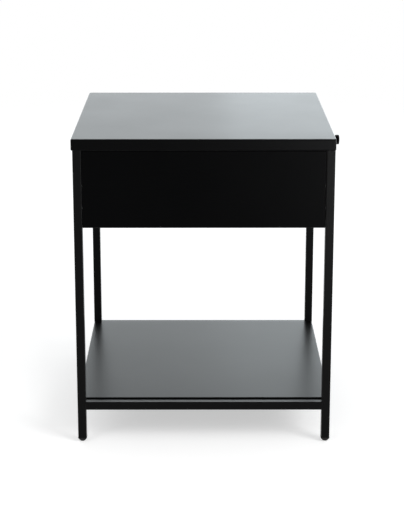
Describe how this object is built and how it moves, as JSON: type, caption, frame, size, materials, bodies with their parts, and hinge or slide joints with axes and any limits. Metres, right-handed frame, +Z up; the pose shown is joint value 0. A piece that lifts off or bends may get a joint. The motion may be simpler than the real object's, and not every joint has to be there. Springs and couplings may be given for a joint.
{
  "type": "side table with drawer",
  "caption": "Square side table in black sheet steel with thin tube legs, a drawer on ball-bearing runners under the top and an open shelf near the floor.",
  "frame": {"origin": "on the floor, at the middle of the footprint with the knob counted, which is 13.25 mm in front of the middle of the top", "axes": "+Z up, -Y towards the drawer's front, +X to the right of someone who faces the drawer"},
  "size_m": [0.45, 0.4766, 0.55],
  "materials": {
    "black_coat": "satin black powder coat",
    "foot_plastic": "moulded black plastic",
    "zinc_steel": "bright zinc plate",
    "ball_steel": "polished balls in a plated cage",
    "black_screws": "black oxide"
  },
  "bodies": {
    "table": {"back_panel": "black_coat", "back_screw_lower_left": "black_screws", "back_screw_lower_right": "black_screws", "back_screw_upper_left": "black_screws", "back_screw_upper_right": "black_screws", "bottom_panel": "black_coat", "bottom_screw_front_left": "black_screws", "bottom_screw_front_right": "black_screws", "bottom_screw_rear_left": "black_screws", "bottom_screw_rear_right": "black_screws", "foot_front_left": "foot_plastic", "foot_front_right": "foot_plastic", "foot_rear_left": "foot_plastic", "foot_rear_right": "foot_plastic", "leg_front_left": "black_coat", "leg_front_right": "black_coat", "leg_rear_left": "black_coat", "leg_rear_right": "black_coat", "lower_rail_left": "black_coat", "lower_rail_right": "black_coat", "lower_shelf": "black_coat", "runner_channel_left": "zinc_steel", "runner_channel_right": "zinc_steel", "runner_outer_left": "zinc_steel", "runner_outer_right": "zinc_steel", "runner_screw_front_left": "zinc_steel", "runner_screw_front_right": "zinc_steel", "runner_screw_rear_left": "zinc_steel", "runner_screw_rear_right": "zinc_steel", "shelf_bolt_front_left": "black_screws", "shelf_bolt_front_right": "black_screws", "shelf_bolt_rear_left": "black_screws", "shelf_bolt_rear_right": "black_screws", "side_panel_left": "black_coat", "side_panel_right": "black_coat", "top_panel": "black_coat", "top_screw_front_left": "black_screws", "top_screw_front_right": "black_screws", "top_screw_rear_left": "black_screws", "top_screw_rear_right": "black_screws"},
    "drawer": {"drawer_front": "black_coat", "drawer_tray": "black_coat", "front_screw_lower_left": "black_screws", "front_screw_lower_right": "black_screws", "front_screw_upper_left": "black_screws", "front_screw_upper_right": "black_screws", "knob": "black_coat", "knob_screw": "black_screws", "runner_inner_left": "zinc_steel", "runner_inner_right": "zinc_steel", "tray_rivet_front_left": "zinc_steel", "tray_rivet_front_right": "zinc_steel", "tray_rivet_rear_left": "zinc_steel", "tray_rivet_rear_right": "zinc_steel"},
    "cage_left": {"runner_cage_left": "ball_steel"},
    "cage_right": {"runner_cage_right": "ball_steel"}
  },
  "joints": [
    {"name": "drawer_slide", "type": "slide", "parent": "table", "child": "drawer", "axis": [0, -1, 0], "range_m": [0, 0.26]},
    {"name": "cage_left_slide", "type": "slide", "parent": "table", "child": "cage_left", "axis": [0, -1, 0], "range_m": [0, 0.13]},
    {"name": "cage_right_slide", "type": "slide", "parent": "table", "child": "cage_right", "axis": [0, -1, 0], "range_m": [0, 0.13]}
  ],
  "couplings": [
    {"joint": "cage_left_slide", "follows": "drawer_slide", "ratio": 0.5},
    {"joint": "cage_right_slide", "follows": "drawer_slide", "ratio": 0.5}
  ]
}
